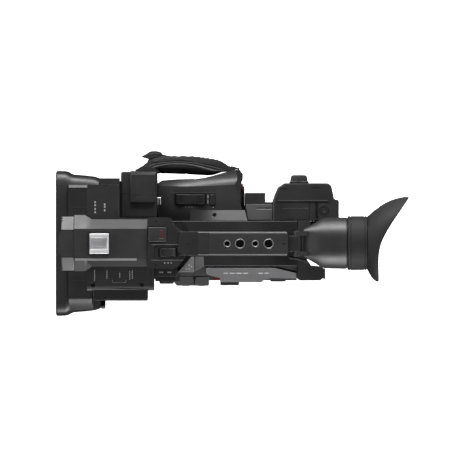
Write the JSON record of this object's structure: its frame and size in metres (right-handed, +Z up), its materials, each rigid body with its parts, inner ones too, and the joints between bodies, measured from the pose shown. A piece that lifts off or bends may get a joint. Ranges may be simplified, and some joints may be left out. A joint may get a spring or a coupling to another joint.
{
  "type": "camcorder",
  "caption": "Handheld camcorder with a top handle, side grip and hand strap, rectangular lens hood, control rings, tilting viewfinder and a monitor that slides out of the handle.",
  "frame": {"origin": "on the flat underside of the tripod base plate, between its two threaded holes", "axes": "+X from the lens towards the viewfinder, +Y towards the grip, +Z up"},
  "size_m": [0.3741, 0.1771, 0.216],
  "materials": {
    "body_plastic": "fine moulded grain",
    "dark_plastic": "smooth satin",
    "grey_paint": "satin grey paint",
    "bright_metal": "brushed",
    "steel": "machined",
    "rubber": "matt",
    "strap_leather": "grained padding",
    "strap_fabric": "woven belt",
    "coated_glass": "coated",
    "circuit_board": "solder mask",
    "record_red": "satin"
  },
  "bodies": {
    "body": {"base_plate": "grey_paint", "left_casing": "body_plastic", "right_casing": "body_plastic", "rear_cover": "body_plastic", "sensor_board": "circuit_board", "main_board": "circuit_board", "lens_barrel": "bright_metal", "front_lens": "coated_glass", "lens_hood": "dark_plastic", "spine_cover": "body_plastic", "mic_grille": "grey_paint", "accessory_shoe": "bright_metal", "lcd_bay": "body_plastic", "xlr_block": "body_plastic", "xlr_socket": "dark_plastic", "handle_head": "body_plastic", "handle_cover": "body_plastic", "thread_plate": "steel", "handle_frame": "body_plastic", "evf_hinge_block": "dark_plastic", "evf_hinge_pin": "steel", "grip_shell": "body_plastic", "strap_pad": "strap_leather", "strap_belt": "strap_fabric", "strap_anchor_front": "steel", "strap_anchor_rear": "steel", "bridge_block": "body_plastic", "rear_right_housing": "body_plastic", "left_side_housing": "body_plastic", "side_panel": "grey_paint"},
    "focus": {"focus_ring": "rubber"},
    "zoom": {"zoom_ring": "rubber"},
    "iris": {"iris_ring": "rubber"},
    "filter_wheel": {"nd_wheel": "dark_plastic"},
    "filter_dial": {"nd_dial": "dark_plastic"},
    "upper_blade": {"shutter_top": "dark_plastic"},
    "lower_blade": {"shutter_bottom": "dark_plastic"},
    "blade_lever": {"shutter_lever": "dark_plastic"},
    "monitor": {"lcd_housing": "dark_plastic"},
    "socket_release": {"xlr_release": "bright_metal"},
    "handle_record": {"handle_rec_button": "body_plastic"},
    "handle_zoom": {"handle_zoom_rocker": "dark_plastic"},
    "viewfinder": {"evf_housing": "body_plastic", "evf_ring": "body_plastic", "eyepiece_lens": "coated_glass"},
    "eye_cup": {"eyecup": "rubber"},
    "diopter": {"diopter_dial": "dark_plastic"},
    "grip_zoom": {"grip_zoom_rocker": "dark_plastic"},
    "grip_function": {"grip_button": "dark_plastic"},
    "grip_record": {"grip_rec_button": "record_red"},
    "rear_dial": {"rear_knob": "dark_plastic"},
    "fan": {"fan_rotor": "dark_plastic"},
    "user_1": {"user_button_1": "dark_plastic"},
    "user_2": {"user_button_2": "dark_plastic"},
    "menu": {"menu_dial": "dark_plastic"},
    "audio_1": {"audio_knob_1": "dark_plastic"},
    "audio_2": {"audio_knob_2": "dark_plastic"},
    "battery_pack": {"battery": "dark_plastic"},
    "battery_release": {"battery_latch": "grey_paint"},
    "card_lid": {"card_door": "body_plastic"}
  },
  "joints": [
    {"name": "focus_turn", "type": "hinge", "parent": "body", "child": "focus", "pos_m": [-0.098, 0, 0.074], "axis": [1, 0, 0], "continuous": true},
    {"name": "zoom_turn", "type": "hinge", "parent": "body", "child": "zoom", "pos_m": [-0.085, 0, 0.074], "axis": [1, 0, 0], "range_deg": [-60, 60]},
    {"name": "iris_turn", "type": "hinge", "parent": "body", "child": "iris", "pos_m": [-0.072, 0, 0.074], "axis": [1, 0, 0], "continuous": true},
    {"name": "filter_turn", "type": "hinge", "parent": "body", "child": "filter_wheel", "pos_m": [-0.0445, 0, 0.058], "axis": [1, 0, 0], "range_deg": [0, 270]},
    {"name": "filter_dial_turn", "type": "hinge", "parent": "body", "child": "filter_dial", "pos_m": [-0.042, -0.0415, 0.05], "axis": [0, 1, 0], "range_deg": [0, 270]},
    {"name": "upper_blade_turn", "type": "hinge", "parent": "body", "child": "upper_blade", "pos_m": [-0.1195, 0, 0.1118], "axis": [0, -1, 0], "range_deg": [0, 90]},
    {"name": "lower_blade_turn", "type": "hinge", "parent": "body", "child": "lower_blade", "pos_m": [-0.1195, 0, 0.0362], "axis": [0, 1, 0], "range_deg": [0, 90]},
    {"name": "blade_lever_turn", "type": "hinge", "parent": "body", "child": "blade_lever", "pos_m": [-0.1094, -0.052, 0.074], "axis": [1, 0, 0], "range_deg": [0, 60]},
    {"name": "monitor_slide", "type": "slide", "parent": "body", "child": "monitor", "axis": [0, -1, 0], "range_m": [0, 0.075]},
    {"name": "socket_release_press", "type": "slide", "parent": "body", "child": "socket_release", "axis": [0, 0, -1], "range_m": [0, 0.0015], "stiffness_N_per_m": 250},
    {"name": "handle_record_press", "type": "slide", "parent": "body", "child": "handle_record", "axis": [0, 0, -1], "range_m": [0, 0.0012], "stiffness_N_per_m": 250},
    {"name": "handle_zoom_rock", "type": "hinge", "parent": "body", "child": "handle_zoom", "pos_m": [-0.0385, -0.00925, 0.2064], "axis": [0, 1, 0], "range_deg": [-6, 6], "stiffness_Nm_per_rad": 0.05},
    {"name": "viewfinder_tilt", "type": "hinge", "parent": "body", "child": "viewfinder", "pos_m": [0.097, 0, 0.203], "axis": [0, -1, 0], "range_deg": [0, 90]},
    {"name": "eyecup_turn", "type": "hinge", "parent": "viewfinder", "child": "eye_cup", "pos_m": [0.171, 0.0005, 0.182], "axis": [1, 0, 0], "range_deg": [0, 180]},
    {"name": "diopter_turn", "type": "hinge", "parent": "viewfinder", "child": "diopter", "pos_m": [0.138, 0.0005, 0.154], "axis": [0, 0, 1], "range_deg": [-60, 60]},
    {"name": "grip_zoom_rock", "type": "hinge", "parent": "body", "child": "grip_zoom", "pos_m": [-0.0155, 0.047, 0.1372], "axis": [0, 1, 0], "range_deg": [-6, 6], "stiffness_Nm_per_rad": 0.08},
    {"name": "grip_function_press", "type": "slide", "parent": "body", "child": "grip_function", "axis": [0, 0, -1], "range_m": [0, 0.0012], "stiffness_N_per_m": 250},
    {"name": "grip_record_press", "type": "slide", "parent": "body", "child": "grip_record", "axis": [-1, 0, 0], "range_m": [0, 0.0012], "stiffness_N_per_m": 250},
    {"name": "rear_dial_turn", "type": "hinge", "parent": "body", "child": "rear_dial", "pos_m": [0.1, 0.068, 0.118], "axis": [0, 1, 0], "continuous": true},
    {"name": "fan_turn", "type": "hinge", "parent": "body", "child": "fan", "pos_m": [0.108, 0.05, 0.084], "axis": [0, 1, 0], "continuous": true},
    {"name": "user_1_press", "type": "slide", "parent": "body", "child": "user_1", "axis": [0, 1, 0], "range_m": [0, 0.001], "stiffness_N_per_m": 250},
    {"name": "user_2_press", "type": "slide", "parent": "body", "child": "user_2", "axis": [0, 1, 0], "range_m": [0, 0.001], "stiffness_N_per_m": 250},
    {"name": "menu_turn", "type": "hinge", "parent": "body", "child": "menu", "pos_m": [0.078, -0.0395, 0.08], "axis": [0, 1, 0], "continuous": true},
    {"name": "audio_1_turn", "type": "hinge", "parent": "body", "child": "audio_1", "pos_m": [0.021, -0.042, 0.086], "axis": [0, 1, 0], "range_deg": [-150, 150]},
    {"name": "audio_2_turn", "type": "hinge", "parent": "body", "child": "audio_2", "pos_m": [0.032, -0.042, 0.086], "axis": [0, 1, 0], "range_deg": [-150, 150]},
    {"name": "battery_slide", "type": "slide", "parent": "body", "child": "battery_pack", "axis": [1, 0, 0], "range_m": [0, 0.04]},
    {"name": "battery_release_press", "type": "slide", "parent": "body", "child": "battery_release", "axis": [-1, 0, 0], "range_m": [0, 0.0015], "stiffness_N_per_m": 250},
    {"name": "card_lid_turn", "type": "hinge", "parent": "body", "child": "card_lid", "pos_m": [0.12735, -0.027, 0.085], "axis": [0, 0, 1], "range_deg": [0, 110]}
  ],
  "couplings": [
    {"joint": "lower_blade_turn", "follows": "upper_blade_turn", "ratio": 1},
    {"joint": "blade_lever_turn", "follows": "upper_blade_turn", "ratio": 0.66},
    {"joint": "filter_dial_turn", "follows": "filter_turn", "ratio": 1}
  ]
}
